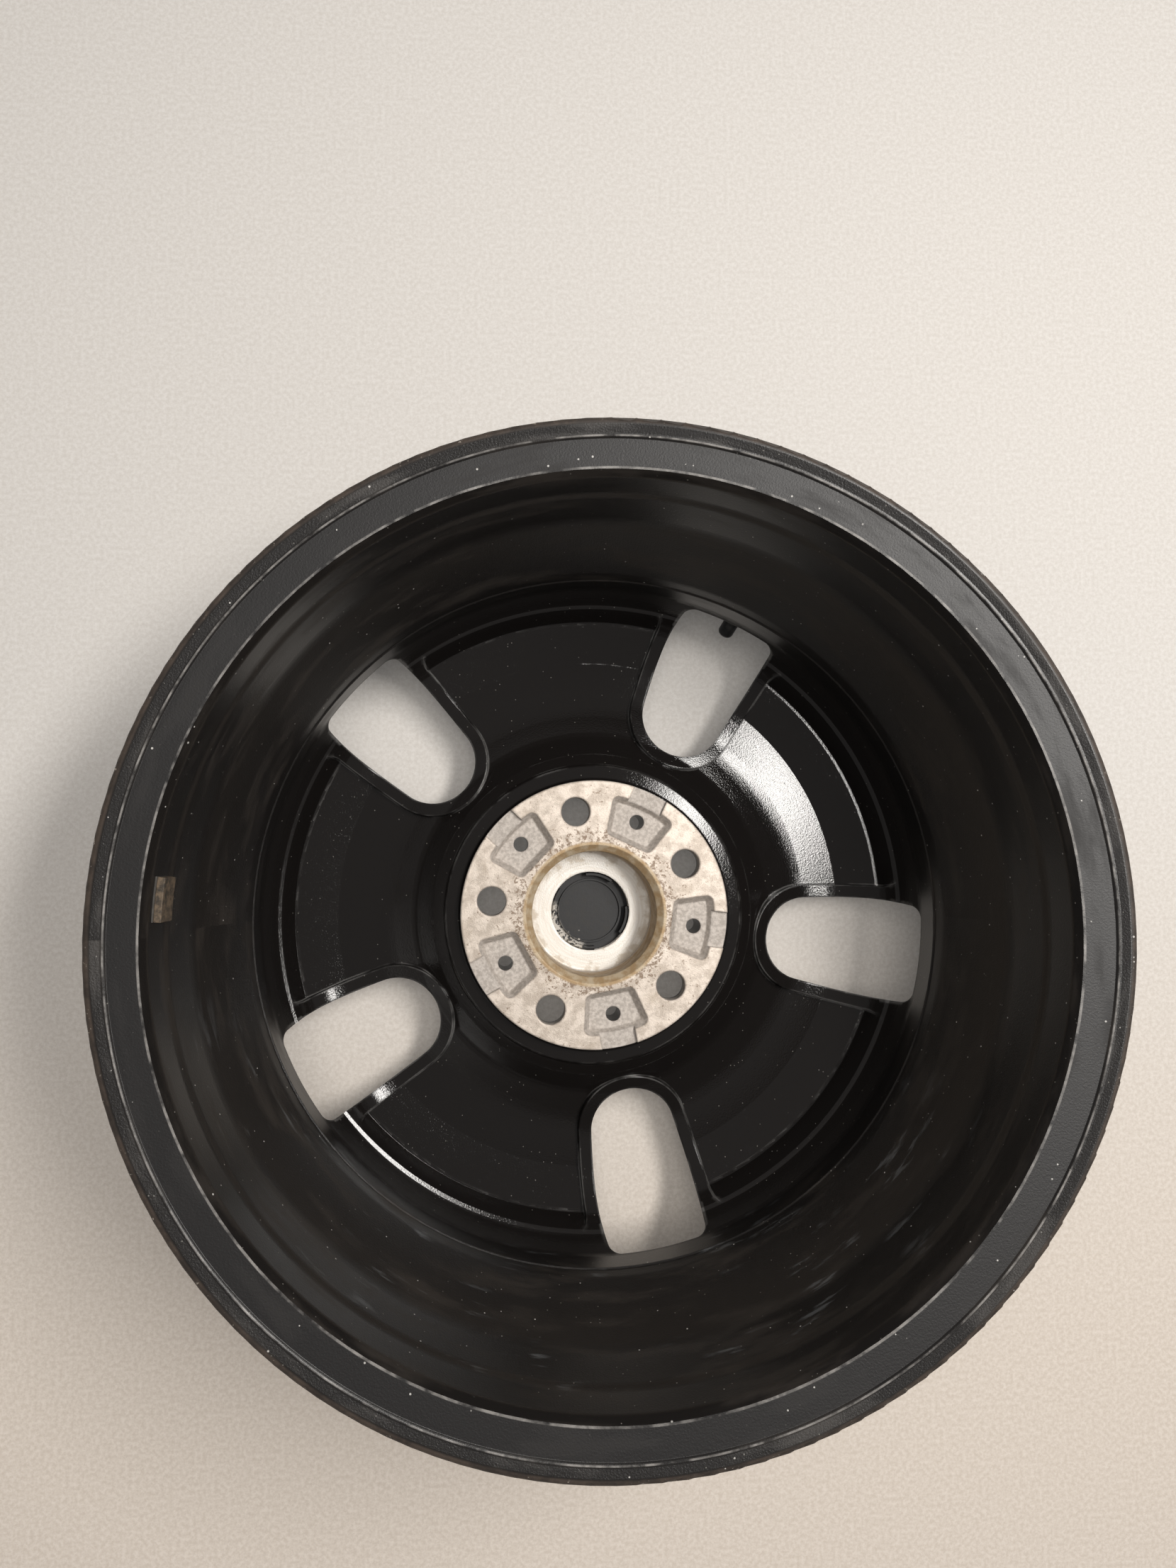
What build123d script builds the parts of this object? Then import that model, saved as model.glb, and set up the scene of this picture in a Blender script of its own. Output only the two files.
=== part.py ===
from build123d import *
from math import cos, degrees, radians, sin, sqrt, tan
import os

# A one-piece cast alloy wheel rim, millimetres. It lies with its outboard (street) face down on the floor,
# so the wheel axis is +Z, the floor is Z = 0, and the brake side with the hub pad looks up.
# Angles are in degrees about +Z, from +X.

# Rim contour
bead_seat_r = 218.3
bead_taper = 5.0
rim_width = 177.8
flange_width = 12.5
flange_height = 17.3
flange_curve_r = 7.0
lip_round = 3.0
hump_height = 1.6
bead_shelf = 36.0
waist_r = 186.2
waist_below_middle = 34.8
well_wall = 7.0
well_width = 22.0
bore_at_shelf = 9.8
bore_at_seat = 8.5
bore_at_seat_depth = 31.5
bore_at_flange = 7.1
bore_at_flange_depth = 12.6
turned_line_up = 17.5
turned_line_step = 0.7

# Hub
offset = 50.0
pad_r = 77.6
pad_step = 6.3
pad_bevel = 0.8
flank_r = 93.5
bore_r = 36.3
bore_bevel = 3.5
bore_depth = 31.5
web = 7.0
cap_hole_r = 23.6
cap_seat_r = 28.4
cap_seat_depth = 5.0
hub_front_r = 43.0
flank_drop = 12.6

# Bolt holes
spokes = 5
pcd = 120.0
bolt_hole_r = 8.3
bolt_shank = 10.5
bolt_seat_half_angle = 30.0
bolt_well_r = 14.0
first_bolt_angle = 100.6

# Lightening pockets in the hub pad
pad_pocket_in = 44.5
pad_pocket_out = 69.5
pad_pocket_half_in = 14.0
pad_pocket_half_out = 19.6
pad_pocket_corner = 4.0
pad_pocket_depth = 5.8
pad_pocket_draft = 30.0
drain_hole_r = 4.3
drain_hole_at = 58.6
channel_half = 10.4
channel_depth = 2.5

# Disc: the line of the lands round the windows. Each point has its share of the way from the hub's flank
# to the waist, its depth below the hub pad, and the rounding of the line there.
land_points = [(0.121, 16.3, 12.0), (0.394, 21.4, 60.0), (0.610, 20.8, 60.0), (0.772, 16.4, 30.0), (0.869, 8.8, 20.0)]
disc_depth = 21.4
disc_thickness = 15.0
rim_groove = 19.0

# Windows
window_end_r = 23.9
window_end_in = 57.6
window_side_angle = 7.8
window_corner = 6.0
window_draft = 8.0
window_flare = 0.42
valve_boss = 2.5

# Recessed spoke backs between the lands
land_width = 8.5
recess_depth = 4.4
recess_in = 7.0
recess_crease_in = 36.0
recess_foot_in = 13.8
recess_foot_depth = 17.6
recess_foot_round = 2.0
recess_corner = 4.5
recess_draft = 5.5

# Valve: it sits on the slope from the drop centre to the street-side bead, and places on its own axis
# are measured from its tyre-side end
valve_turn = -0.6
valve_tilt = 36.0
valve_share = 0.65
valve_sunk = 1.2
valve_length = 40.5
valve_hole_r = 6.0
valve_seat_at = 7.5
valve_wall = 4.5
valve_spot_r = 10.0
stem_r = 2.9
stem_thread_r = 3.85
stem_bore_r = 2.0
stem_start = 3.0
stem_end = 37.3
stem_flange_r = 4.6
stem_flange = 1.6
rubber_start = 2.2
rubber_end = 28.5
rubber_head_r = 9.3
dust_cap_start = 29.1
dust_cap_r = 4.6
dust_cap_dome = 3.0
dust_cap_seal = 0.8

# Stick-on balance weight
weight_angle = 175.5
weight_length = 20.5
weight_width = 14.0
weight_thickness = 3.6
weight_round = 0.5
tape_thickness = 0.9
weight_depth = 15.8

# Centre cap
cap_finger = 43.0
cap_finger_wall = 2.0
cap_fingers = 4
cap_first_finger = 75.0

clearance = 0.1

# Worked out from the values above
width = rim_width + 2 * flange_width
middle = width / 2
flange_r = bead_seat_r + flange_height
waist_z = middle - waist_below_middle
well_r = waist_r + well_wall
seat_low_r = bead_seat_r - 18.0 * tan(radians(bead_taper))
shelf_r = seat_low_r - 1.0
shelf_z = middle - rim_width / 2 + bead_shelf
window_end_at = waist_r - window_end_in
pad_z = middle - offset
bore_floor_z = pad_z - bore_depth
cap_seat_z = bore_floor_z - web
front_z = cap_seat_z - cap_seat_depth
pitch = 360 / spokes
first_window_angle = first_bolt_angle - pitch / 2
valve_angle = first_window_angle + valve_turn


def around(solid, first, count):
    """Copies of a solid at even steps about the wheel axis."""
    return [Rot(0, 0, first + 360 / count * i) * solid for i in range(count)]


def held_back(before, here, after, wanted):
    """The rounding of a corner, held back where its neighbours are too near for the value asked for."""
    turn = (here - before).get_angle(after - here)
    room = 0.45 * min((here - before).length, (after - here).length)
    return min(wanted, room / tan(radians(max(turn, 1.0) / 2)))


def outline_face(points):
    """A face from a closed outline of (x, y) points. A third value on a point rounds that corner."""
    spots = [Vector(*p[:2]) for p in points]
    face = make_face(Polyline(*spots, close=True))
    for i, point in enumerate(points):
        if len(point) > 2:
            after = spots[(i + 1) % len(spots)]
            corner = face.vertices().sort_by_distance(spots[i])[0]
            face = fillet(corner, held_back(spots[i - 1], spots[i], after, point[2]))
    return face


def turned(points):
    """A solid of revolution about Z from a closed outline of (radius, height) points."""
    return revolve(Plane.XZ * outline_face(points), Axis.Z)


def drum(radius, low, high):
    """A plain cylinder on the wheel axis between two heights."""
    return Pos(0, 0, low) * Cylinder(radius, high - low, align=(Align.CENTER, Align.CENTER, Align.MIN))


def sector_face(angle):
    """A triangle that holds a sector of the given angle about +X, out past the rim."""
    half = flange_r * tan(radians(angle / 2))
    return make_face(Polyline((0, 0), (flange_r, -half), (flange_r, half), close=True))


# Rim contour, from the mid-plane outwards, the same on both sides
def tyre_side(side):
    """Bead seat, hump and flange of one side, as (radius, height, rounding) points."""
    flange_at = rim_width / 2
    hump_r = seat_low_r + hump_height
    lip_end = flange_at + flange_width
    outline = [
        (shelf_r, flange_at - bead_shelf, 8.0),
        (hump_r, flange_at - 30.0, 4.0),
        (hump_r, flange_at - 25.0, 4.0),
        (seat_low_r, flange_at - 20.0, 4.0),
        (bead_seat_r, flange_at, 5.0),
        (flange_r - flange_curve_r, flange_at, flange_curve_r - 1.0),
        (flange_r, flange_at + flange_curve_r, 1.5),
        (flange_r, lip_end, lip_round),
    ]
    return [(r, middle + side * z, rounding) for r, z, rounding in outline]


def land_outline(below=0.0):
    """Back of the disc between the hub pad and the barrel, at the level of the lands or below it."""
    span = waist_r - flank_r
    return [(flank_r + span * share, pad_z - depth - below, rounding) for share, depth, rounding in land_points]


def barrel_bore():
    """Inside of the barrel from the disc up to the back flange."""
    line_z = waist_z + turned_line_up
    shelf_bore_r = bead_seat_r - bore_at_shelf
    swell = shelf_bore_r - waist_r
    return [
        (waist_r - 6.0, waist_z - 13.8, 8.0),
        (waist_r, waist_z, 10.0),
        (waist_r + 0.02 * swell, line_z),
        (waist_r + 0.02 * swell + turned_line_step, line_z + 0.3),
        (waist_r + 0.12 * swell, line_z + 8.0, 20.0),
        (waist_r + 0.84 * swell, width - 63.0, 40.0),
        (shelf_bore_r, width - 35.7, 12.0),
        (bead_seat_r - bore_at_seat, width - bore_at_seat_depth, 12.0),
        (bead_seat_r - bore_at_flange, width - bore_at_flange_depth, 4.0),
        (bead_seat_r - 4.3, width - 7.4, 2.0),
        (flange_r - 10.6, width - 1.4, 0.8),
        (flange_r - 9.2, width, 0.8),
    ]


def front_face():
    """Street side, from the lip in to the hub: left plain."""
    disc_front = pad_z - disc_depth - disc_thickness
    groove_z = disc_front + rim_groove
    bolt_ring_r = pcd / 2 + bolt_well_r + 1.0
    return [
        (flange_r - 9.0, 0.0, 1.0),
        (bead_seat_r - 6.0, 7.0, 8.0),
        (bead_seat_r - 8.0, disc_front - 2.0, 8.0),
        (bead_seat_r - 10.5, groove_z, 5.0),
        (waist_r + 1.0, groove_z - 1.5, 8.0),
        (waist_r - 22.0, disc_front, 20.0),
        (bolt_ring_r + 22.0, disc_front, 20.0),
        (bolt_ring_r + 2.0, front_z + 1.5, 3.0),
        (bolt_ring_r, front_z + 14.0, 3.0),
        (hub_front_r + 2.0, front_z + 14.0, 3.0),
        (hub_front_r, front_z, 2.0),
        (0.0, front_z),
    ]


def blank():
    """The whole wheel as turned, before any window, hole or pocket."""
    hub = [(0.0, pad_z), (pad_r - pad_bevel, pad_z), (pad_r, pad_z - pad_bevel), (pad_r + 0.6, pad_z - pad_step, 1.5)]
    hub += [(pad_r + 8.5, pad_z - pad_step - 1.2, 1.0), (pad_r + 9.7, pad_z - pad_step - 2.8, 1.0)]
    hub += [(flank_r, pad_z - flank_drop, 4.0)]
    well = [(well_r, waist_z + well_width, 14.0), (well_r, waist_z, 10.0)]
    back_side = list(reversed(tyre_side(1)))
    return turned(hub + land_outline() + barrel_bore() + back_side + well + tyre_side(-1) + front_face())


# Windows: an outline in the window's own frame, X outwards along the radius
def window_outline(grow, outer_r, corner):
    """Round inner end, two straight sides and an outer arc, all moved out by grow."""
    lean = radians(window_side_angle)
    end_r = window_end_r + grow
    touch = Vector(window_end_at - end_r * sin(lean), end_r * cos(lean))
    along = Vector(cos(lean), sin(lean))
    reach = -touch.dot(along) + sqrt(touch.dot(along) ** 2 + outer_r**2 - touch.dot(touch))
    corner_up = touch + along * reach
    corner_down = Vector(corner_up.X, -corner_up.Y)
    touch_down = Vector(touch.X, -touch.Y)
    face = make_face(
        [
            ThreePointArc(touch_down, (window_end_at - end_r, 0), touch),
            Line(touch, corner_up),
            ThreePointArc(corner_up, (outer_r, 0), corner_down),
            Line(corner_down, touch_down),
        ]
    )
    corners = face.vertices().sort_by(Axis.X)[-2:]
    return fillet(corners, corner)


def window_cut(boss=0.0):
    """A window that opens towards the street side, so its back edge bounds the view."""
    level = pad_z - land_points[0][1]
    top = waist_z + 10.0
    low = front_z - 4.0
    slope = tan(radians(window_draft))
    outlines = []
    for z in (low, top):
        outer_r = waist_r - boss + window_flare * (waist_z - z)
        outlines.append(Pos(0, 0, z) * window_outline(slope * (level - z), outer_r, window_corner))
    return loft(outlines, ruled=True)


def recess_cut():
    """The shallow sector between two lands on a spoke's back. Its floor creases up to a slanted outer wall."""
    start_r, start_depth, start_round = land_outline(recess_depth)[0]
    floor_z = pad_z - disc_depth - recess_depth
    crease_r = waist_r - recess_crease_in
    foot = Vector(waist_r - recess_foot_in, pad_z - recess_foot_depth)
    brow = Vector(waist_r - recess_in, pad_z)
    wall_top = foot + (brow - foot) * 1.8
    profile = [
        (flank_r, pad_z - flank_drop),
        (start_r, start_depth, start_round),
        (start_r + 0.4 * (crease_r - start_r), floor_z + 0.8, 60.0),
        (crease_r, floor_z, 4.0),
        (foot.X, foot.Y, recess_foot_round),
        (wall_top.X, wall_top.Y),
        (flank_r, wall_top.Y),
    ]
    bowl = turned(profile)
    outer_r = brow.X + 0.8 - (pad_z - floor_z) * tan(radians(recess_draft))
    outline = (Circle(outer_r) - Circle(flank_r)) & sector_face(pitch)
    for side in (-1, 1):
        outline -= Rot(0, 0, side * pitch / 2) * window_outline(land_width, waist_r + 40.0, window_corner)
    outline = fillet(outline.vertices().sort_by(SortBy.DISTANCE)[-2:], recess_corner)
    prism = Pos(0, 0, floor_z - 1.0) * extrude(outline, 36.0, taper=-recess_draft)
    return prism & bowl


def pad_pocket_cut():
    """One cast lightening pocket of the hub pad, its channel out to the pad's edge and its drain hole."""
    shoulder = pad_pocket_out - 4.0
    reach = sqrt(pad_pocket_out**2 - pad_pocket_half_out**2)
    face = make_face(
        [
            Line((pad_pocket_in, -pad_pocket_half_in), (pad_pocket_in, pad_pocket_half_in)),
            Line((pad_pocket_in, pad_pocket_half_in), (reach, pad_pocket_half_out)),
            ThreePointArc((reach, pad_pocket_half_out), (pad_pocket_out, 0), (reach, -pad_pocket_half_out)),
            Line((reach, -pad_pocket_half_out), (pad_pocket_in, -pad_pocket_half_in)),
        ]
    )
    face = fillet(face.vertices(), pad_pocket_corner)
    pocket = extrude(Pos(0, 0, pad_z) * face, -pad_pocket_depth, taper=pad_pocket_draft)
    channel = Pos(shoulder, 0, pad_z - channel_depth) * Box(
        pad_r - shoulder + 4.0, 2 * channel_half, channel_depth + 1.0, align=(Align.MIN, Align.CENTER, Align.MIN)
    )
    hole = Pos(drain_hole_at, 0, 0) * drum(drain_hole_r, front_z, pad_z)
    return [pocket, channel, hole]


def bolt_cut():
    """One bolt hole with its cone seat and the socket's well on the street side."""
    seat_top = pad_z - bolt_shank
    seat_low = seat_top - (bolt_well_r - bolt_hole_r) / tan(radians(bolt_seat_half_angle))
    profile = [
        (0, pad_z + 1.0),
        (bolt_hole_r + 0.5, pad_z + 1.0),
        (bolt_hole_r + 0.5, pad_z),
        (bolt_hole_r, pad_z - 0.5),
        (bolt_hole_r, seat_top),
        (bolt_well_r, seat_low),
        (bolt_well_r, front_z - 5.0),
        (0, front_z - 5.0),
    ]
    return Pos(pcd / 2, 0, 0) * turned(profile)


def bore_cut():
    """Centre bore, the hole for the cap and the cap's seat on the street side."""
    lead = 0.8
    groove = 1.0
    profile = [
        (0, pad_z + 1.0),
        (bore_r + bore_bevel, pad_z + 1.0),
        (bore_r + bore_bevel, pad_z),
        (bore_r, pad_z - bore_bevel),
        (bore_r, bore_floor_z + lead),
        (bore_r - lead, bore_floor_z),
        (cap_hole_r, bore_floor_z),
        (cap_hole_r, bore_floor_z - 2.0),
        (cap_hole_r + groove, bore_floor_z - 2.0),
        (cap_hole_r + groove, bore_floor_z - 4.5),
        (cap_hole_r, bore_floor_z - 4.5),
        (cap_hole_r, cap_seat_z),
        (cap_seat_r, cap_seat_z),
        (cap_seat_r, front_z - 1.0),
        (0, front_z - 1.0),
    ]
    return turned(profile)


# Valve: everything on it is turned about one slanted axis
def valve_frame():
    """Frame at the valve's tyre-side end, Z along the valve towards its cap."""
    slope_r = well_r + (shelf_r - well_r) * valve_share - valve_sunk
    slope_z = waist_z + (shelf_z - waist_z) * valve_share
    along = Vector(-sin(radians(valve_tilt)), 0, -cos(radians(valve_tilt)))
    start = Vector(slope_r, 0, slope_z) - along * valve_seat_at
    plane = Plane(origin=start, z_dir=along, x_dir=(0, 1, 0))
    return Rot(0, 0, valve_angle) * plane.location


def on_valve(points):
    """A turned piece of the valve from (radius, place along the valve) points."""
    return valve_frame() * turned(points)


def valve_cut():
    """The valve hole, with a flat seat cut on both sides of the rim wall."""
    seat_end = valve_seat_at + valve_wall
    spot = valve_spot_r
    profile = [
        (0, -8.0),
        (spot, -8.0),
        (spot, valve_seat_at),
        (valve_hole_r, valve_seat_at),
        (valve_hole_r, seat_end),
        (spot, seat_end),
        (spot, valve_length + 8.0),
        (0, valve_length + 8.0),
    ]
    return on_valve(profile)


def stem_outside():
    """Outside of the stem where the rubber is moulded round it."""
    flange_end = stem_start + stem_flange
    return [
        (stem_flange_r, stem_start),
        (stem_flange_r, flange_end),
        (stem_r, flange_end + 1.4),
        (stem_r, rubber_end - 1.5),
        (stem_thread_r, rubber_end - 0.8),
    ]


def valve_stem():
    """Brass stem moulded into the rubber, open right through."""
    thread = [(stem_thread_r, stem_end - 0.4), (stem_thread_r - 0.4, stem_end), (stem_bore_r, stem_end)]
    return on_valve([(stem_bore_r, stem_start)] + stem_outside() + thread)


def valve_body():
    """Rubber body: head on the tyre side, waist in the hole, shoulder and taper up to the thread."""
    waist = valve_hole_r - clearance
    head_low = valve_seat_at - clearance
    shoulder = valve_seat_at + valve_wall + clearance
    profile = [
        (0, rubber_start),
        (rubber_head_r - 1.7, rubber_start),
        (rubber_head_r, rubber_start + 1.4),
        (rubber_head_r, head_low),
        (waist, head_low),
        (waist, shoulder),
        (8.0, shoulder),
        (7.6, shoulder + 2.0),
        (5.4, rubber_end - 2.0),
        (5.0, rubber_end),
        (0, rubber_end),
    ]
    hole = [(0, 0), (stem_bore_r, 0), (stem_bore_r, stem_start)] + stem_outside()
    hole += [(stem_thread_r, rubber_end + 1.0), (0, rubber_end + 1.0)]
    return on_valve(profile) - on_valve(hole)


def valve_core():
    """Screw-in core, a closed cartridge: barrel, threaded plug and the pin's head."""
    plug_r = stem_bore_r - 0.05
    profile = [
        (0, 11.0),
        (1.2, 11.0),
        (1.2, 20.0),
        (plug_r, 21.0),
        (plug_r, stem_end - 2.0),
        (0.6, stem_end - 2.0),
        (0.6, stem_end - 0.5),
        (0, stem_end - 0.5),
    ]
    return on_valve(profile)


def valve_cap_seal():
    """Flat rubber washer in the head of the dust cap."""
    seat = stem_thread_r - 0.15
    top = stem_end + dust_cap_seal
    return on_valve([(0, stem_end), (seat, stem_end), (seat, top), (0, top)])


def valve_cap():
    """Moulded dust cap with a domed end."""
    cavity_r = stem_thread_r + clearance
    cavity_end = stem_end + dust_cap_seal + clearance
    start = dust_cap_start
    outer = [(0, start), (dust_cap_r - 0.3, start), (dust_cap_r, start + 0.4)]
    outer += [(dust_cap_r, valve_length, dust_cap_dome), (0, valve_length)]
    cavity = [(0, start - 1.0), (cavity_r, start - 1.0), (cavity_r, cavity_end), (0, cavity_end)]
    return on_valve(outer) - on_valve(cavity)


# Centre cap, clipped into the web from the street side
def centre_cap():
    """Moulded disc with four clip fingers that end flush with the bore's floor."""
    disc_r = cap_seat_r - 0.3
    disc_top = cap_seat_z - 0.1
    disc_low = front_z + 0.4
    disc = turned(
        [
            (0, disc_top),
            (disc_r, disc_top),
            (disc_r, disc_low + 1.2),
            (disc_r - 1.2, disc_low),
            (0, disc_low - 0.8),
        ]
    )
    outer = cap_hole_r - 0.3
    inner = outer - cap_finger_wall
    finger_top = bore_floor_z - 0.6
    hook_top = bore_floor_z - 2.3
    hook_low = bore_floor_z - 4.2
    ring = turned(
        [
            (inner, disc_top),
            (outer, disc_top),
            (outer, hook_low),
            (outer + 1.0, hook_low),
            (outer + 1.0, hook_top - 1.0),
            (outer, hook_top),
            (outer - 0.6, finger_top),
            (inner, finger_top),
        ]
    )
    finger = ring & (Pos(0, 0, cap_seat_z - 1.0) * extrude(sector_face(cap_finger), web + 5.0))
    rim_r = inner - 2.0
    rim_top = disc_top + 1.4
    rim = turned([(rim_r - 1.2, disc_top), (rim_r, disc_top), (rim_r, rim_top), (rim_r - 1.2, rim_top)])
    return disc + around(finger, cap_first_finger, cap_fingers) + rim


# Balance weight on the barrel near the back flange
def on_barrel(inner, outer, length, shrink=0.0):
    """A short curved strip that follows the barrel's inside, between two depths under that surface."""
    z_low = width - weight_depth - weight_width + shrink
    z_high = width - weight_depth - shrink
    rise = (bore_at_seat - bore_at_flange) / (bore_at_seat_depth - bore_at_flange_depth)
    low_r = bead_seat_r - bore_at_seat + rise * (z_low - (width - bore_at_seat_depth))
    high_r = low_r + rise * (z_high - z_low)
    half = degrees(length / 2 / low_r)
    face = Plane.XZ * make_face(
        Polyline(
            (low_r - outer, z_low),
            (low_r - inner, z_low),
            (high_r - inner, z_high),
            (high_r - outer, z_high),
            close=True,
        )
    )
    return Rot(0, 0, weight_angle - half) * revolve(face, Axis.Z, 2 * half)


def weight_tape():
    """Foam adhesive strip under the weight."""
    return on_barrel(0.02, tape_thickness, weight_length, 0.3)


def balance_weight():
    """One stick-on segment with its face edges rounded."""
    segment = on_barrel(tape_thickness, tape_thickness + weight_thickness, weight_length)
    return fillet(segment.edges(), weight_round)


def window_cuts():
    """Five windows. The one with the valve has a thicker outer wall."""
    cuts = [Rot(0, 0, first_window_angle) * window_cut(valve_boss)]
    plain = window_cut()
    cuts += [Rot(0, 0, first_window_angle + pitch * i) * plain for i in range(1, spokes)]
    return cuts


def wheel_casting():
    """The one-piece casting with its windows, recesses, hub machining and valve hole."""
    casting = blank()
    casting -= window_cuts()
    casting -= around(recess_cut(), first_bolt_angle, spokes)
    pad_cuts = []
    for cut in pad_pocket_cut():
        pad_cuts += around(cut, first_window_angle, spokes)
    casting -= pad_cuts
    casting -= around(bolt_cut(), first_bolt_angle, spokes)
    casting -= bore_cut()
    casting -= valve_cut()
    return casting


pieces = {
    "wheel_casting": wheel_casting(),
    "centre_cap": centre_cap(),
    "valve_body": valve_body(),
    "valve_stem": valve_stem(),
    "valve_core": valve_core(),
    "valve_cap": valve_cap(),
    "valve_cap_seal": valve_cap_seal(),
    "balance_weight": balance_weight(),
    "weight_tape": weight_tape(),
}

os.makedirs("parts", exist_ok=True)
for name, piece in pieces.items():
    export_step(piece, f"parts/{name}.step")
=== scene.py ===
from math import cos, radians, sin

import bpy
from mathutils import Matrix, Vector


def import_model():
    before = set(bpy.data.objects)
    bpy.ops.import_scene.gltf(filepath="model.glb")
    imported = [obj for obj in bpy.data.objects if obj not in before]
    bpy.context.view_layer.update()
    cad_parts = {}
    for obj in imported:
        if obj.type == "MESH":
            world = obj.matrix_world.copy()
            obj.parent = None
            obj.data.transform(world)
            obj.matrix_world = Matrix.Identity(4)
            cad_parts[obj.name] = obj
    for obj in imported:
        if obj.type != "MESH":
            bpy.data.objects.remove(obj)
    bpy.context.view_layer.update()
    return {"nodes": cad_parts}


# A black painted cast wheel rim lying street face down, seen from its brake side.
# Metres. The wheel's axis is +Z and the floor is Z = 0. Angles are clockwise from +Y as seen from above.

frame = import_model()
nodes = frame["nodes"]

# Places on the casting, from the CAD source
flange_r = 0.2356
top_z = 0.2028
band_outer_r = 0.2250
band_inner_r = 0.2140
crease_r = 0.1496
foot_r = 0.1716
brow_r = 0.1792
waist_z = 0.0666
pad_r = 0.0776
pad_z = 0.0514
pad_step = 0.0063
pad_low_z = pad_z - pad_step
bore_r = 0.0363
bore_floor_z = 0.0199
web_low_z = 0.0129

# A line just above the recesses' outer floor: its height at the crease, and its slope
floor_line_z = 0.0285
floor_slope = 0.4

# Where a finish lies, as an inner and outer radius
brow_zone = (0.1750, 0.1840)
lip_ridge = (0.2263, 0.2268)
lip_hollow = (0.2278, 0.2316)

# Where a finish comes in or goes out, as the start and end of the fade along the radius
worn_lip_fade = (0.2318, 0.2332)
gloss_fade = (0.19, 0.195)
# The painted highlight on sharp edges fades in over this radius
edge_highlight_fade = (0.081, 0.083)
bare_bore_fade = (0.0400, 0.0402)
bore_stain_fade = (0.029, bore_r)
cap_rim_fade = (0.0182, 0.0212)
crisp = 0.0003

# Where the dirt lies: heights, places across, and directions as middle, half width and fade in degrees
smear_heights = (0.074, 0.165)
smear_side = (188, 52, 25)
cap_dirt_side = (236, 38, 14)
cap_grit_fade = (-0.026, -0.012)
least_rubbed = 0.35
most_rubbed = 0.9

# Radii of the softened edges
edge_radius = 0.0014
brow_radius = 0.0034
plastic_edge_radius = 0.0003
brass_edge_radius = 0.0002
weight_edge_radius = 0.0004
smooth_angle = 28

# How far the shading normal leans outwards from straight up, in degrees
band_lean = -8.0
hollow_lean = -16.0
outer_floor_lean = -10.0
foot_lean = -4.0
brow_lean = -22.5

# Depth of the fine relief
peel_depth = 0.00007
cast_depth = 0.00012
plastic_depth = 0.00004
foam_depth = 0.0002
weight_depth = 0.00008

# Patches of noise: scale, detail, roughness, and the values where a patch begins and is full
metal_mottle = (140, 6, 0.65, 0.38, 0.62)
metal_pits = (700, 3, 0.7, 0.62, 0.70)
cast_mottle = (500, 4, 0.6, 0.35, 0.65)
gold_mottle = (160, 4, 0.6, 0.38, 0.64)
lip_rub = (120, 4, 0.65, 0.35, 0.65)
# Rubbed bare metal on the lip's ridges, which also stands in as a painted highlight line
ridge_wear_and_highlight = (90, 3, 0.6, 0.34, 0.58)
flange_chips = (330, 4, 0.7, 0.64, 0.68)
smear_groups = (22, 2, 0.5, 0.46, 0.60)
# Patches that break up the painted highlight on sharp edges
edge_highlight_patches = (45, 3, 0.6, 0.38, 0.62)
plastic_dust = (160, 4, 0.6, 0.45, 0.75)
cap_rim_dirt = (420, 4, 0.7, 0.45, 0.50)
brass_tarnish = (400, 4, 0.6, 0.4, 0.7)
weight_film = (300, 5, 0.7, 0.35, 0.65)
floor_speckle = (420, 3, 0.7, 0.30, 0.72)

# Plain noise: scale, detail, roughness, and distortion where there is any
blotch_noise = (45, 4, 0.6, 0.6)
rust_noise = (420, 5, 0.75)
stain_noise = (110, 4, 0.6)
peel_noise = (1100, 2, 0.6)
cast_noise = (1400, 3, 0.7)
plastic_noise = (900, 3, 0.6)
foam_noise = (600, 3, 0.6)
weight_noise = (900, 4, 0.7)

# Streaks round the axis: scale, detail, angle's share, and the values where a streak begins and is full
turning_rings = (900, 2, 0.002, 0.3, 0.7)
wiped_dirt = (75, 5, 0.05, 0.48, 0.70)
smear_streaks = (150, 5, 0.035, 0.57, 0.68)

# Specks: cells per metre, radius in cells, share of cells that have one
dust_specks = (420, 0.16, 0.09)
lip_specks = (150, 0.09, 0.25)
wall_specks = (240, 0.11, 0.08)
grit_specks = (330, 0.26, 0.30)
flake_specks = (210, 0.10, 0.25)

# Paint and dirt colours
paint_black = (0.0085, 0.0073, 0.0068, 1)
band_black = (0.0090, 0.0082, 0.0084, 1)
lip_brown = (0.062, 0.046, 0.036, 1)
# Grey of rubbed metal on the lip's ridges, also a painted highlight line
ridge_metal_and_highlight = (0.28, 0.265, 0.25, 1)
chip_metal = (0.42, 0.37, 0.32, 1)
# Painted highlight along sharp edges
edge_highlight_grey = (0.17, 0.165, 0.16, 1)
smear_grey = (0.24, 0.25, 0.26, 1)
fleck_pale = (0.60, 0.58, 0.55, 1)
dirt_brown = (0.40, 0.33, 0.27, 1)
dust_pale = (0.42, 0.40, 0.36, 1)

# Bare metal colours
bare_light = (0.76, 0.67, 0.585, 1)
bare_dark = (0.53, 0.455, 0.385, 1)
bare_worn = (0.46, 0.38, 0.30, 1)
pit_bright = (0.82, 0.76, 0.69, 1)
rust_brown = (0.15, 0.085, 0.04, 1)
cast_light = (0.60, 0.545, 0.495, 1)
cast_dark = (0.42, 0.375, 0.335, 1)
gold_light = (0.54, 0.44, 0.31, 1)
gold_dark = (0.40, 0.275, 0.15, 1)
machined_light = (0.93, 0.90, 0.85, 1)
machined_dark = (0.82, 0.77, 0.70, 1)
machined_stain = (0.50, 0.41, 0.30, 1)

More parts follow.
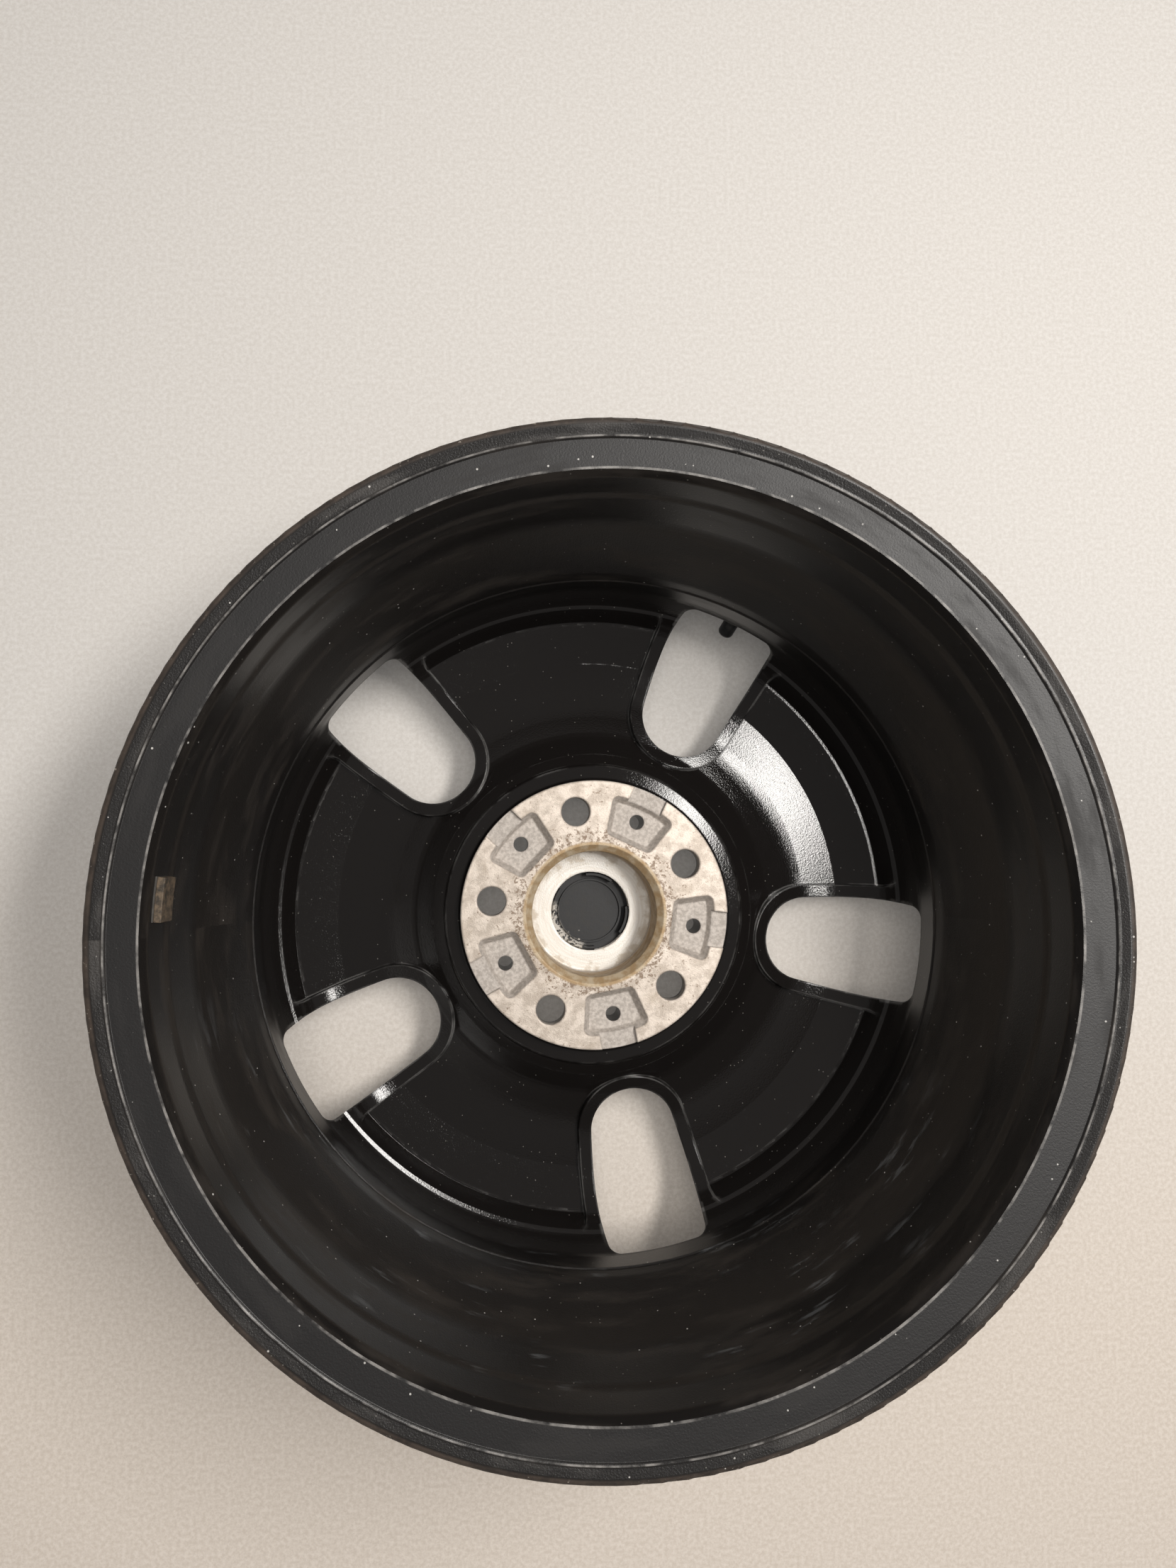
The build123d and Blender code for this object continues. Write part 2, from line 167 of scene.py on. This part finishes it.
# Colours of the other pieces
cap_grey = (0.016, 0.016, 0.017, 1)
grit_pale = (0.62, 0.58, 0.52, 1)
rubber_black = (0.015, 0.015, 0.015, 1)
dust_cap_black = (0.02, 0.02, 0.022, 1)
foam_grey = (0.06, 0.055, 0.05, 1)
brass_bright = (0.70, 0.52, 0.25, 1)
brass_dull = (0.42, 0.30, 0.15, 1)
weight_light = (0.17, 0.125, 0.085, 1)
weight_dark = (0.05, 0.042, 0.034, 1)

# Roughness, and how metallic the metal is under its dirt
rough_paint = 0.33
rough_recess = 0.08
rough_band = 0.43
rough_hollow = 0.24
rough_worn_lip = 0.50
rough_cast = 0.62
rough_face = 0.48
rough_machined = 0.32
rough_cap = 0.50
rough_valve = 0.6
rough_dust_cap = 0.4
rough_seal = 0.7
rough_foam = 0.8
rough_brass = 0.25
rough_tarnish = 0.5
rough_weight = 0.6
added_by_dirt = 0.15
metallic_cast = 0.2
metallic_face = 0.4
metallic_machined = 0.25
metallic_weight = 0.2

# Floor, greyer at the photograph's top and warmer at its bottom, and the share seen in its plain colour
floor_half = 4.0
floor_upper = ((0.66, 0.625, 0.585, 1), (0.76, 0.73, 0.695, 1))
floor_lower = ((0.65, 0.575, 0.50, 1), (0.78, 0.705, 0.63, 1))
floor_fade_y = (-0.30, 0.15)
floor_plain_share = 0.12

# Lights
lamp_colour = (1.0, 0.97, 0.93)
key_at = (0.63, 0.36, 1.50)
key_toward = (0.10, 0.06, 0.03)
key_size = (0.26, 0.84)
key_turn = 20.0
key_power = 20.5
fill_at = (-0.12, 0.16, 1.50)
fill_toward = (0.0, 0.0, 0.0)
fill_size = (0.7, 0.7)
fill_turn = 0.0
fill_power = 6.5
world_colour = (1.0, 0.965, 0.94, 1)
world_strength = 0.21

# Camera, fitted to the photograph
camera_at = (-0.06095, 0.04217, 0.70564)
camera_right = (0.99754, -0.00220, 0.07006)
camera_up = (-0.00220, 0.99803, 0.06265)
camera_back = (-0.07006, -0.06265, 0.99557)
photo_height_px = 2212
focal_px = 1599.82
shift_x_px = 26.78
shift_y_px = -20.16
sensor_mm = 36.0
near_clip = 0.01


class Graph:
    """Short calls for building one material's nodes."""

    def __init__(self, name):
        self.material = bpy.data.materials.new(name)
        self.material.use_nodes = True
        self.tree = self.material.node_tree
        self.tree.nodes.clear()
        self.output = self.tree.nodes.new("ShaderNodeOutputMaterial")
        coordinates = self.tree.nodes.new("ShaderNodeTexCoord")
        self.place = coordinates.outputs["Object"]
        parts = self.node("ShaderNodeSeparateXYZ", {0: self.place})
        self.x, self.y, self.z = parts.outputs
        squares = self.math("ADD", self.math("POWER", self.x, 2), self.math("POWER", self.y, 2))
        self.r = self.math("SQRT", squares)

    def node(self, kind, inputs=(), **settings):
        made = self.tree.nodes.new(kind)
        for key, value in settings.items():
            setattr(made, key, value)
        for key, value in dict(inputs).items():
            self.set(made.inputs[key], value)
        return made

    def set(self, socket, value):
        if isinstance(value, bpy.types.NodeSocket):
            self.tree.links.new(value, socket)
        else:
            socket.default_value = value

    def math(self, operation, a, b=0.0, c=0.0):
        return self.node("ShaderNodeMath", {0: a, 1: b, 2: c}, operation=operation).outputs[0]

    def step(self, value, low, high, out_low=0.0, out_high=1.0):
        """Smooth change from out_low to out_high as value goes from low to high."""
        inputs = {"Value": value, "From Min": low, "From Max": high, "To Min": out_low, "To Max": out_high}
        return self.node("ShaderNodeMapRange", inputs, interpolation_type="SMOOTHSTEP").outputs[0]

    def below(self, value, low, high):
        """1 under low, fading to 0 at high."""
        return self.step(value, low, high, 1.0, 0.0)

    def band(self, value, low, high, soft):
        """1 between low and high, fading over soft outside them."""
        return self.all_of(self.step(value, low - soft, low), self.below(value, high, high + soft))

    def joined(self, operation, masks):
        result = masks[0]
        for mask in masks[1:]:
            result = self.math(operation, result, mask)
        return result

    def all_of(self, *masks):
        return self.joined("MULTIPLY", masks)

    def any_of(self, *masks):
        return self.joined("MAXIMUM", masks)

    def sector(self, middle, half, soft):
        """1 within half degrees of the direction middle, fading over soft degrees."""
        across = self.math("MULTIPLY", self.x, sin(radians(middle)))
        along = self.math("MULTIPLY_ADD", self.y, cos(radians(middle)), across)
        cosine = self.math("DIVIDE", along, self.math("MAXIMUM", self.r, 1e-4))
        return self.step(cosine, cos(radians(half + soft)), cos(radians(half)))

    def noise(self, scale, detail, roughness, distortion=0.0):
        inputs = {"Vector": self.place, "Scale": scale, "Detail": detail}
        inputs |= {"Roughness": roughness, "Distortion": distortion}
        return self.node("ShaderNodeTexNoise", inputs).outputs["Fac"]

    def patches(self, scale, detail, roughness, low, high):
        """Patches of noise: 0 where it is under low and 1 where it is over high."""
        return self.step(self.noise(scale, detail, roughness), low, high)

    def streaks(self, scale, detail, along, low, high):
        """Patches drawn out round the wheel axis, as turning marks and wiped dirt are."""
        angle = self.math("ARCTAN2", self.y, self.x)
        inputs = {"X": self.math("MULTIPLY", angle, along), "Y": self.r, "Z": self.z}
        vector = self.node("ShaderNodeCombineXYZ", inputs).outputs[0]
        inputs = {"Vector": vector, "Scale": scale, "Detail": detail, "Roughness": 0.6}
        return self.step(self.node("ShaderNodeTexNoise", inputs).outputs["Fac"], low, high)

    def specks(self, scale, size, keep):
        """Small round spots: size is their radius in cells, keep the share of cells that have one."""
        inputs = {"Vector": self.place, "Scale": scale, "Randomness": 1.0}
        cells = self.node("ShaderNodeTexVoronoi", inputs).outputs
        lot = self.node("ShaderNodeSeparateColor", {0: cells["Color"]}).outputs[0]
        chosen = self.step(lot, 1 - keep, 1 - keep + 0.01)
        return self.all_of(self.below(cells["Distance"], size * 0.6, size), chosen)

    def mixed(self, kind, share, a, b):
        """The Mix node, which has sockets of its own for numbers, vectors and colours."""
        first, out = {"FLOAT": (2, 0), "VECTOR": (4, 1), "RGBA": (6, 2)}[kind]
        return self.node("ShaderNodeMix", {0: share, first: a, first + 1: b}, data_type=kind).outputs[out]

    def mix(self, share, a, b):
        """Colour a where share is 0 and b where it is 1."""
        return self.mixed("RGBA", share, a, b)

    def blend(self, share, a, b):
        """The same as mix, for plain numbers."""
        return self.mixed("FLOAT", share, a, b)

    def coat(self, base, colour, mask, amount):
        """base with colour laid on it, by amount where mask is 1."""
        return self.mix(self.math("MULTIPLY", mask, amount), base, colour)

    def bump(self, height, distance, normal):
        inputs = {"Height": height, "Distance": distance, "Strength": 1.0, "Normal": normal}
        return self.node("ShaderNodeBump", inputs).outputs[0]

    def turned_normal(self, lean, base, share):
        """Where share is 1, the normal of a ring that faces up and leans outwards by lean degrees."""
        outwards = self.math("DIVIDE", sin(radians(lean)), self.math("MAXIMUM", self.r, 1e-4))
        inputs = {"X": self.math("MULTIPLY", self.x, outwards), "Y": self.math("MULTIPLY", self.y, outwards)}
        inputs["Z"] = cos(radians(lean))
        ring = self.node("ShaderNodeCombineXYZ", inputs).outputs[0]
        mixed = self.mixed("VECTOR", share, base, ring)
        return self.node("ShaderNodeVectorMath", {0: mixed}, operation="NORMALIZE").outputs[0]

    def rounded(self, radius):
        """Normal that rounds sharp edges, as paint and casting do."""
        return self.node("ShaderNodeBevel", {"Radius": radius}, samples=4).outputs[0]

    def finish(self, **inputs):
        """Principled shader from its inputs' names, with _ for each space."""
        named = {key.replace("_", " "): value for key, value in inputs.items()}
        shader = self.node("ShaderNodeBsdfPrincipled", named)
        self.tree.links.new(shader.outputs[0], self.output.inputs["Surface"])
        return self.material


def casting_material():
    """Black paint all over, worn at the lip, and bare aluminium on the hub pad and in the bore."""
    g = Graph("black_paint_and_bare_alloy")

    # Edges, which catch the light: a rounded normal, and a mask of sharp edges that gets a painted highlight
    # below
    at_brow = g.all_of(
        g.band(g.r, *brow_zone, 0.0005),
        g.step(g.z, pad_z - 0.006, pad_z - 0.005),
        g.below(g.z, waist_z - 0.006, waist_z - 0.005),
    )
    soft = g.rounded(g.blend(at_brow, edge_radius, brow_radius))
    geometry = g.node("ShaderNodeNewGeometry").outputs
    bend = g.node("ShaderNodeVectorMath", {0: soft, 1: geometry["Normal"]}, operation="DOT_PRODUCT")
    edges = g.all_of(
        g.below(bend.outputs["Value"], 0.950, 0.992),
        g.below(g.z, waist_z - 0.004, waist_z),
        g.step(g.r, *edge_highlight_fade),
    )

    # Where the metal is bare
    on_pad = g.all_of(
        g.below(g.r, pad_r - 0.0006, pad_r - 0.0002),
        g.step(g.z, pad_low_z - 0.0012, pad_low_z - 0.0008),
    )
    in_bore = g.all_of(g.below(g.r, *bare_bore_fade), g.step(g.z, web_low_z - 0.0002, web_low_z))
    bare = g.any_of(on_pad, in_bore)
    face = g.step(g.z, pad_z - 0.0006, pad_z - 0.0002)
    on_bevel = g.all_of(
        g.below(g.r, bore_r + 0.0045, bore_r + 0.0060),
        g.step(g.z, bore_floor_z + 0.004, bore_floor_z + 0.006),
    )
    bore_floor = g.all_of(
        g.below(g.r, bore_r - 0.0004, bore_r),
        g.below(g.z, bore_floor_z + 0.0015, bore_floor_z + 0.0025),
    )

    # Colour of the bare metal
    metal = g.mix(g.patches(*metal_mottle), bare_dark, bare_light)
    blotch = g.step(g.noise(*blotch_noise), 0.54, 0.70)
    metal = g.coat(metal, bare_worn, blotch, 0.6)
    metal = g.coat(metal, pit_bright, g.patches(*metal_pits), 0.6)
    near_bore = g.below(g.r, bore_r + 0.003, bore_r + 0.022)
    rust = g.step(g.math("MULTIPLY_ADD", near_bore, 0.13, g.noise(*rust_noise)), 0.60, 0.67)
    metal = g.coat(metal, rust_brown, rust, 0.75)
    cast = g.mix(g.patches(*cast_mottle), cast_dark, cast_light)
    metal = g.mix(face, cast, metal)
    gold = g.mix(g.patches(*gold_mottle), gold_dark, gold_light)
    metal = g.mix(on_bevel, metal, gold)
    machined = g.mix(g.streaks(*turning_rings), machined_dark, machined_light)
    stain = g.math("MULTIPLY_ADD", g.step(g.r, *bore_stain_fade), 0.16, g.noise(*stain_noise))
    machined = g.coat(machined, machined_stain, g.step(stain, 0.56, 0.72), 0.6)
    metal = g.mix(bore_floor, metal, machined)

    # Parts of the lip
    at_lip = g.step(g.z, top_z - 0.012, top_z - 0.011)
    facing_up = g.node("ShaderNodeSeparateXYZ", {0: geometry["True Normal"]}).outputs[2]
    band = g.all_of(
        at_lip,
        g.step(facing_up, 0.50, 0.52),
        g.below(g.r, band_outer_r + 0.0002, band_outer_r + 0.0005),
        g.step(g.r, band_inner_r - 0.0015, band_inner_r - 0.0014),
    )
    inner_ridge = g.all_of(band, g.below(g.r, band_inner_r + 0.0003, band_inner_r + 0.0007))
    outer_ridge = g.all_of(at_lip, g.band(g.r, *lip_ridge, crisp))
    hollow = g.all_of(at_lip, g.band(g.r, *lip_hollow, 0.0008))
    worn_lip = g.all_of(at_lip, g.step(g.r, *worn_lip_fade))

    # Parts of the recesses
    floor_line = g.math("MULTIPLY_ADD", g.r, floor_slope, floor_line_z - floor_slope * crease_r)
    on_floor = g.below(g.math("SUBTRACT", g.z, floor_line), -0.0004, 0.0)
    outer_floor = g.all_of(g.band(g.r, crease_r, foot_r, crisp), on_floor)
    foot_line = g.all_of(g.band(g.r, foot_r + 0.0002, foot_r + 0.0012, crisp), on_floor)
    brow_line = g.all_of(
        g.band(g.r, brow_r - 0.0009, brow_r + 0.0003, crisp),
        g.band(g.z, pad_z - 0.0035, pad_z + 0.003, 0.0005),
    )

    # Colour of the paint, with dust, wiped dirt, wear and chips, grey lip ridges that are rubbed metal and a
    # painted highlight at once, and a painted highlight along sharp edges
    dirt = g.all_of(g.streaks(*wiped_dirt), g.step(g.z, waist_z - 0.006, waist_z + 0.02))
    paint = g.coat(paint_black, dirt_brown, dirt, 0.04)
    paint = g.coat(paint, dust_pale, g.specks(*dust_specks), 0.35)
    paint = g.coat(paint, band_black, band, 0.8)
    rubbed = g.blend(g.patches(*lip_rub), least_rubbed, most_rubbed)
    paint = g.mix(g.all_of(worn_lip, rubbed), paint, lip_brown)
    # Lip ridges in grey: rubbed metal, and a painted highlight line as well
    ridges = g.all_of(g.any_of(inner_ridge, outer_ridge), g.patches(*ridge_wear_and_highlight), rubbed)
    paint = g.mix(ridges, paint, ridge_metal_and_highlight)
    chips = g.all_of(g.patches(*flange_chips), g.step(g.r, flange_r - 0.0035, flange_r - 0.001))
    paint = g.coat(paint, chip_metal, chips, 0.7)
    smears = g.all_of(
        g.streaks(*smear_streaks),
        g.patches(*smear_groups),
        g.sector(*smear_side),
        g.band(g.z, *smear_heights, 0.012),
    )
    paint = g.coat(paint, smear_grey, smears, 0.30)
    lip_flecks = g.all_of(g.specks(*lip_specks), at_lip)
    wall_flecks = g.all_of(g.specks(*wall_specks), g.step(g.z, waist_z, waist_z + 0.02))
    paint = g.coat(paint, fleck_pale, g.any_of(lip_flecks, wall_flecks), 0.8)
    # Painted highlight along sharp edges below the waist, in patches
    paint = g.mix(g.all_of(edges, g.patches(*edge_highlight_patches)), paint, edge_highlight_grey)
    colour = g.mix(bare, paint, metal)

    # Gloss
    recesses = g.all_of(g.below(g.z, waist_z - 0.015, waist_z - 0.005), g.below(g.r, *gloss_fade))
    paint_rough = g.blend(recesses, rough_paint, rough_recess)
    paint_rough = g.blend(band, paint_rough, rough_band)
    paint_rough = g.blend(hollow, paint_rough, rough_hollow)
    paint_rough = g.blend(worn_lip, paint_rough, rough_worn_lip)
    paint_rough = g.math("MULTIPLY_ADD", dirt, added_by_dirt, paint_rough)
    metal_rough = g.blend(bore_floor, g.blend(face, rough_cast, rough_face), rough_machined)
    rough = g.blend(bare, paint_rough, metal_rough)
    metal_share = g.blend(bore_floor, g.blend(face, metallic_cast, metallic_face), metallic_machined)
    metallic = g.math("MULTIPLY", bare, metal_share)

    # Faces and rolled edges that turn the light, then the fine relief
    leans = [(band_lean, band), (hollow_lean, hollow), (outer_floor_lean, outer_floor)]
    leans += [(foot_lean, foot_line), (brow_lean, brow_line)]
    for lean, share in leans:
        soft = g.turned_normal(lean, soft, share)
    normal = g.bump(g.noise(*peel_noise), peel_depth, soft)
    grain = g.all_of(bare, g.blend(bore_floor, 1.0, 0.1))
    relief = g.math("MULTIPLY", g.noise(*cast_noise), grain)
    normal = g.bump(relief, cast_depth, normal)
    return g.finish(Base_Color=colour, Roughness=rough, Metallic=metallic, Normal=normal)


def moulded(g, shade, dusty, roughness, grain=plastic_noise, depth=plastic_depth):
    """Finish of moulded plastic or rubber: a fine grain, and rougher where it is dusty."""
    rough = g.blend(dusty, roughness, roughness + added_by_dirt)
    normal = g.bump(g.noise(*grain), depth, g.rounded(plastic_edge_radius))
    return g.finish(Base_Color=shade, Roughness=rough, Normal=normal)


def plain_plastic(name, colour, roughness, *relief):
    """Moulded plastic or rubber with a little dust."""
    g = Graph(name)
    dusty = g.patches(*plastic_dust)
    shade = g.coat(colour, dust_pale, dusty, 0.12)
    return moulded(g, shade, dusty, roughness, *relief)


def cap_material():
    """Matt dark grey plastic with grit and flakes lying towards its lower left edge."""
    g = Graph("matt_cap_plastic")
    dusty = g.patches(*plastic_dust)
    shade = g.coat(cap_grey, dust_pale, dusty, 0.05)
    grit = g.all_of(g.specks(*grit_specks), g.below(g.math("ADD", g.x, g.y), *cap_grit_fade))
    rim_dirt = g.all_of(
        g.patches(*cap_rim_dirt),
        g.step(g.r, *cap_rim_fade),
        g.sector(*cap_dirt_side),
    )
    shade = g.coat(shade, grit_pale, g.any_of(grit, rim_dirt), 0.8)
    shade = g.coat(shade, dust_pale, g.specks(*flake_specks), 0.5)
    return moulded(g, shade, dusty, rough_cap)


def brass_material():
    """Machined brass, dulled in patches."""
    g = Graph("machined_brass")
    tarnish = g.patches(*brass_tarnish)
    shade = g.mix(tarnish, brass_bright, brass_dull)
    rough = g.blend(tarnish, rough_brass, rough_tarnish)
    return g.finish(Base_Color=shade, Roughness=rough, Metallic=1.0, Normal=g.rounded(brass_edge_radius))


def weight_material():
    """Dirty grey metal under a film of brake dust."""
    g = Graph("dirty_weight_metal")
    shade = g.mix(g.patches(*weight_film), weight_dark, weight_light)
    normal = g.bump(g.noise(*weight_noise), weight_depth, g.rounded(weight_edge_radius))
    return g.finish(Base_Color=shade, Roughness=rough_weight, Metallic=metallic_weight, Normal=normal)


def floor_material():
    """Pale speckled floor. Seen straight or in a mirror, a small share of it is its plain colour."""
    g = Graph("pale_floor")
    speckle = g.patches(*floor_speckle)
    upper = g.mix(speckle, *floor_upper)
    lower = g.mix(speckle, *floor_lower)
    shade = g.mix(g.step(g.y, *floor_fade_y), lower, upper)
    diffuse = g.node("ShaderNodeBsdfDiffuse", {"Color": shade})
    plain = g.node("ShaderNodeEmission", {"Color": shade, "Strength": 1.0})
    rays = g.node("ShaderNodeLightPath").outputs
    direct = g.any_of(rays["Is Camera Ray"], rays["Is Glossy Ray"], rays["Is Transmission Ray"])
    share = g.math("MULTIPLY", direct, floor_plain_share)
    both = g.node("ShaderNodeMixShader", {0: share, 1: diffuse.outputs[0], 2: plain.outputs[0]})
    g.tree.links.new(both.outputs[0], g.output.inputs["Surface"])
    return g.material


def smooth(node, angle):
    """Smooth shading up to an angle, with sharp edges kept."""
    mesh = nodes[node].data
    mesh.set_sharp_from_angle(angle=radians(angle))
    mesh.shade_smooth()


def dress(node, material):
    nodes[node].data.materials.clear()
    nodes[node].data.materials.append(material)


def floor():
    corners = [(x * floor_half, y * floor_half, 0) for x, y in ((-1, -1), (1, -1), (1, 1), (-1, 1))]
    mesh = bpy.data.meshes.new("floor")
    mesh.from_pydata(corners, [], [(0, 1, 2, 3)])
    made = bpy.data.objects.new("floor", mesh)
    bpy.context.scene.collection.objects.link(made)
    mesh.materials.append(floor_material())


def lamp(name, at, toward, size, turn, power):
    """Rectangular lamp that faces a point, its long side turned by turn degrees from +Y."""
    data = bpy.data.lights.new(name, "AREA")
    data.shape = "RECTANGLE"
    data.size, data.size_y = size
    data.energy = power
    data.color = lamp_colour
    made = bpy.data.objects.new(name, data)
    made.location = at
    aim = (Vector(at) - Vector(toward)).normalized()
    long_way = Vector((sin(radians(turn)), cos(radians(turn)), 0))
    side = long_way.cross(aim).normalized()
    made.rotation_euler = Matrix((side, aim.cross(side), aim)).transposed().to_euler()
    bpy.context.scene.collection.objects.link(made)
    return made


def world():
    made = bpy.data.worlds.new("studio")
    made.use_nodes = True
    background = made.node_tree.nodes["Background"]
    background.inputs["Color"].default_value = world_colour
    background.inputs["Strength"].default_value = world_strength
    bpy.context.scene.world = made


def camera():
    data = bpy.data.cameras.new("photo_camera")
    data.sensor_fit = "VERTICAL"
    data.sensor_height = sensor_mm
    data.lens = focal_px / photo_height_px * sensor_mm
    data.shift_x = shift_x_px / photo_height_px
    data.shift_y = shift_y_px / photo_height_px
    data.clip_start = near_clip
    made = bpy.data.objects.new("photo_camera", data)
    turn = Matrix((camera_right, camera_up, camera_back)).transposed()
    made.matrix_world = Matrix.Translation(camera_at) @ turn.to_4x4()
    bpy.context.scene.collection.objects.link(made)
    bpy.context.scene.camera = made


camera()
for node in nodes:
    smooth(node, smooth_angle)
dress("wheel_casting", casting_material())
dress("centre_cap", cap_material())
dress("valve_body", plain_plastic("valve_rubber", rubber_black, rough_valve))
dress("valve_cap", plain_plastic("dust_cap_plastic", dust_cap_black, rough_dust_cap))
dress("valve_cap_seal", plain_plastic("seal_rubber", rubber_black, rough_seal))
brass = brass_material()
dress("valve_stem", brass)
dress("valve_core", brass)
dress("balance_weight", weight_material())
dress("weight_tape", plain_plastic("foam_tape", foam_grey, rough_foam, foam_noise, foam_depth))
floor()
world()
lamp("key", key_at, key_toward, key_size, key_turn, key_power)
soft_fill = lamp("soft_fill", fill_at, fill_toward, fill_size, fill_turn, fill_power)
soft_fill.visible_glossy = False

view = bpy.context.scene.view_settings
view.view_transform = "Standard"
